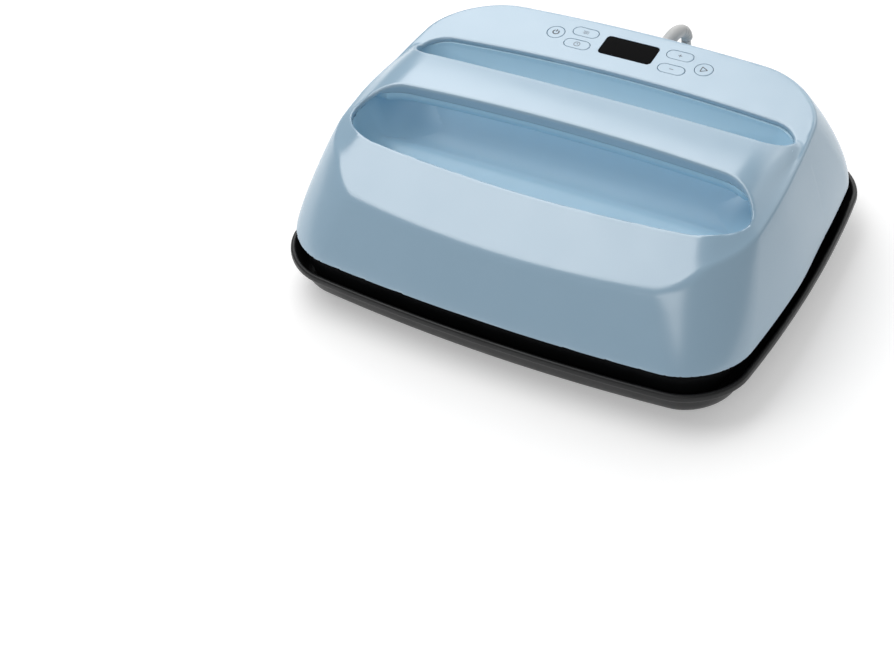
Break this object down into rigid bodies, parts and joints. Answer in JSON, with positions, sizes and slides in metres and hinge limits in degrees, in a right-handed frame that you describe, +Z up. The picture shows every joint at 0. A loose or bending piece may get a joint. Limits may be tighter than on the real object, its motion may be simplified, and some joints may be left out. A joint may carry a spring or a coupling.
{
  "type": "hand-held heat press",
  "caption": "Flat-plate hand-held heat press with a bridge handle over a scooped hand recess, keys and a display, standing in its black safety base with a mains lead.",
  "frame": {"origin": "centre of the safety base's footprint, on the surface that its feet stand on", "axes": "+X to the right along the handle, +Y away from the user towards the cord, +Z up out of the base"},
  "size_m": [0.3508, 0.4056, 0.119],
  "materials": {
    "blue_shell": "fine satin moulded",
    "black_plastic": "satin moulded",
    "inner_plastic": "moulded",
    "silicone": "matte",
    "sheet_aluminium": "rolled sheet",
    "coated_plate": "dark non-stick ceramic coat",
    "steel": "plain",
    "blanket_fibre": "pressed ceramic fibre",
    "ceramic": "glazed",
    "circuit_board": "solder mask",
    "connector_green": "moulded",
    "transformer_yellow": "tape wrapped",
    "display_glass": "polished",
    "cord_grey": "satin vinyl",
    "plug_brass": "plain"
  },
  "bodies": {
    "safety_base": {"base_tray": "black_plastic", "base_insulation_sheet": "sheet_aluminium", "base_pad_front_left": "silicone", "base_pad_front_right": "silicone", "base_pad_rear_left": "silicone", "base_pad_rear_right": "silicone", "base_foot_front_left": "silicone", "base_foot_front_right": "silicone", "base_foot_rear_left": "silicone", "base_foot_rear_right": "silicone", "cord_coil": "cord_grey", "cord_tail": "cord_grey", "plug_body": "cord_grey", "plug_blade_left": "plug_brass", "plug_blade_right": "plug_brass", "plug_earth_pin": "plug_brass"},
    "press": {"top_housing": "blue_shell", "handle_liner": "blue_shell", "recess_tub": "blue_shell", "lower_shroud": "black_plastic", "chassis_frame": "inner_plastic", "cord_clamp": "inner_plastic", "display_module": "inner_plastic", "buzzer": "inner_plastic", "relay": "inner_plastic", "power_switch": "inner_plastic", "start_switch": "inner_plastic", "temperature_switch": "inner_plastic", "timer_switch": "inner_plastic", "plus_switch": "inner_plastic", "minus_switch": "inner_plastic", "heat_shield": "sheet_aluminium", "heat_plate": "coated_plate", "heating_element": "steel", "element_cover": "steel", "thermostat": "steel", "temperature_sensor": "steel", "plate_standoff_front_left": "steel", "plate_standoff_front_right": "steel", "plate_standoff_rear_left": "steel", "plate_standoff_rear_right": "steel", "shroud_screw_front_left": "steel", "shroud_screw_front_right": "steel", "shroud_screw_rear_left": "steel", "shroud_screw_rear_right": "steel", "insulation_blanket": "blanket_fibre", "thermal_fuse": "ceramic", "power_board": "circuit_board", "control_board": "circuit_board", "terminal_block": "connector_green", "transformer": "transformer_yellow", "display_lens": "display_glass", "strain_relief": "cord_grey", "cord": "cord_grey"},
    "power_button": {"power_button": "blue_shell"},
    "start_button": {"start_button": "blue_shell"},
    "temperature_button": {"temperature_button": "blue_shell"},
    "timer_button": {"timer_button": "blue_shell"},
    "plus_button": {"plus_button": "blue_shell"},
    "minus_button": {"minus_button": "blue_shell"}
  },
  "joints": [
    {"name": "press_lift", "type": "slide", "parent": "safety_base", "child": "press", "axis": [0, 0, 1], "range_m": [0, 0.12]},
    {"name": "power_press", "type": "slide", "parent": "press", "child": "power_button", "axis": [0, 0.0995, -0.995], "range_m": [0, 0.0006], "stiffness_N_per_m": 800, "springref_m": -0.0005},
    {"name": "start_press", "type": "slide", "parent": "press", "child": "start_button", "axis": [0, 0.0995, -0.995], "range_m": [0, 0.0006], "stiffness_N_per_m": 800, "springref_m": -0.0005},
    {"name": "temperature_press", "type": "slide", "parent": "press", "child": "temperature_button", "axis": [0, 0.0995, -0.995], "range_m": [0, 0.0006], "stiffness_N_per_m": 800, "springref_m": -0.0005},
    {"name": "timer_press", "type": "slide", "parent": "press", "child": "timer_button", "axis": [0, 0.0995, -0.995], "range_m": [0, 0.0006], "stiffness_N_per_m": 800, "springref_m": -0.0005},
    {"name": "plus_press", "type": "slide", "parent": "press", "child": "plus_button", "axis": [0, 0.0995, -0.995], "range_m": [0, 0.0006], "stiffness_N_per_m": 800, "springref_m": -0.0005},
    {"name": "minus_press", "type": "slide", "parent": "press", "child": "minus_button", "axis": [0, 0.0995, -0.995], "range_m": [0, 0.0006], "stiffness_N_per_m": 800, "springref_m": -0.0005}
  ]
}
